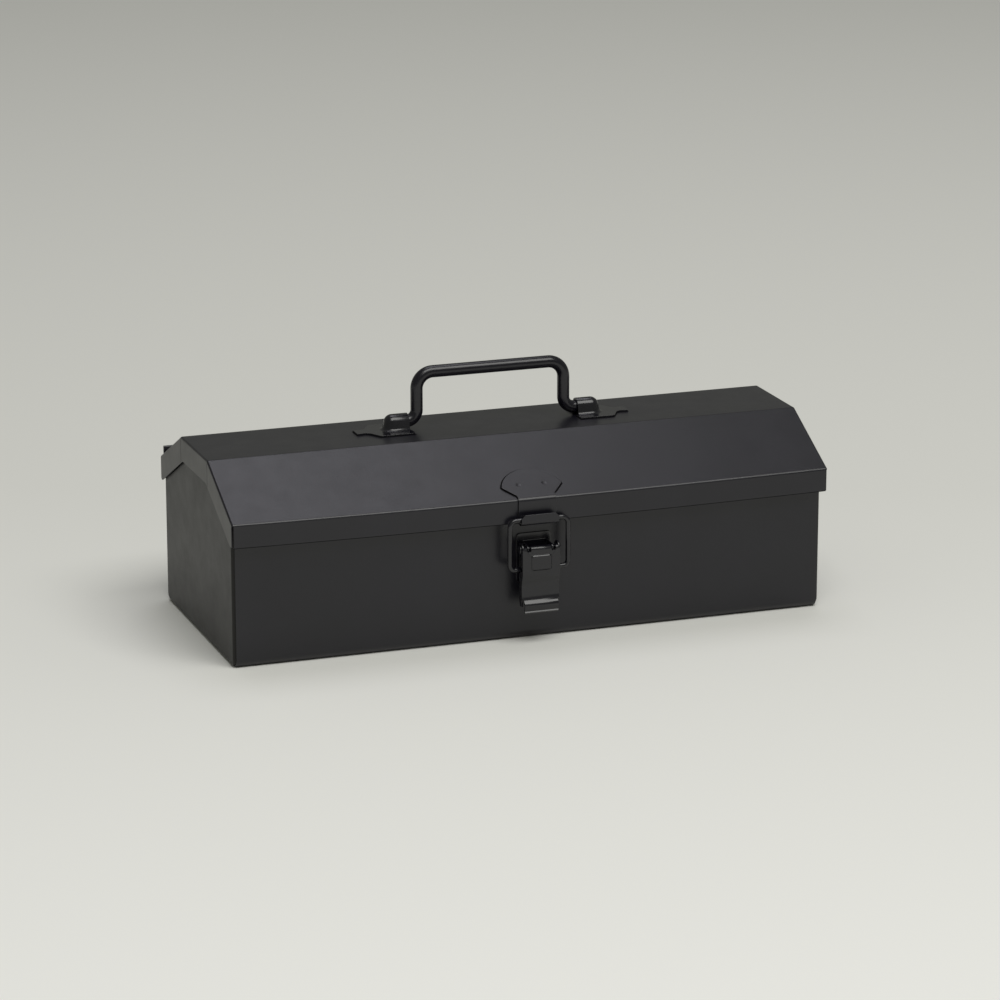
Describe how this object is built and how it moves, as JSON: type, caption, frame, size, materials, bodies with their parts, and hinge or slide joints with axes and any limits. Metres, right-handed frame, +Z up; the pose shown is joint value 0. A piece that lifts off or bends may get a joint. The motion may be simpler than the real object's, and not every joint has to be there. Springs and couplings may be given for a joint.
{
  "type": "metal tool box",
  "caption": "Camber-topped steel tool box with a hinged lid, a folding rod carry handle and a draw latch on the front.",
  "frame": {"origin": "middle of the flat underside of the body, on the surface that the box stands on", "axes": "+X along the box to its right end as seen from the latch, -Y towards the latch, +Z up"},
  "size_m": [0.359, 0.1637, 0.1469],
  "materials": {
    "body_paint": "satin",
    "fittings_paint": "semi-gloss",
    "handle_paint": "semi-gloss"
  },
  "bodies": {
    "body": {"body_trough": "body_paint", "end_panel_left": "body_paint", "end_panel_right": "body_paint", "hinge_body_leaf_left": "fittings_paint", "hinge_body_leaf_right": "fittings_paint", "hinge_pin_left": "fittings_paint", "hinge_pin_right": "fittings_paint", "latch_base": "fittings_paint", "latch_pin": "fittings_paint"},
    "lid": {"lid_shell": "body_paint", "hook_plate": "body_paint", "handle_bracket_left": "fittings_paint", "handle_bracket_right": "fittings_paint", "hinge_lid_leaf_left": "fittings_paint", "hinge_lid_leaf_right": "fittings_paint"},
    "handle": {"handle_rod": "handle_paint"},
    "latch_lever": {"latch_lever": "fittings_paint"},
    "latch_loop": {"latch_loop": "fittings_paint"}
  },
  "joints": [
    {"name": "lid_hinge", "type": "hinge", "parent": "body", "child": "lid", "pos_m": [0, 0.0756, 0.0862], "axis": [-1, 0, 0], "range_deg": [0, 105]},
    {"name": "handle_swing", "type": "hinge", "parent": "lid", "child": "handle", "pos_m": [0, 0, 0.115], "axis": [-1, 0, 0], "range_deg": [-92, 92]},
    {"name": "latch_lever_pivot", "type": "hinge", "parent": "body", "child": "latch_lever", "pos_m": [0, -0.0813, 0.056], "axis": [-1, 0, 0], "range_deg": [0, 120]},
    {"name": "latch_loop_pivot", "type": "hinge", "parent": "latch_lever", "child": "latch_loop", "pos_m": [0, -0.0808, 0.0442], "axis": [-1, 0, 0], "range_deg": [-290, 0]}
  ],
  "couplings": [
    {"joint": "latch_loop_pivot", "follows": "latch_lever_pivot", "ratio": -2.4}
  ]
}
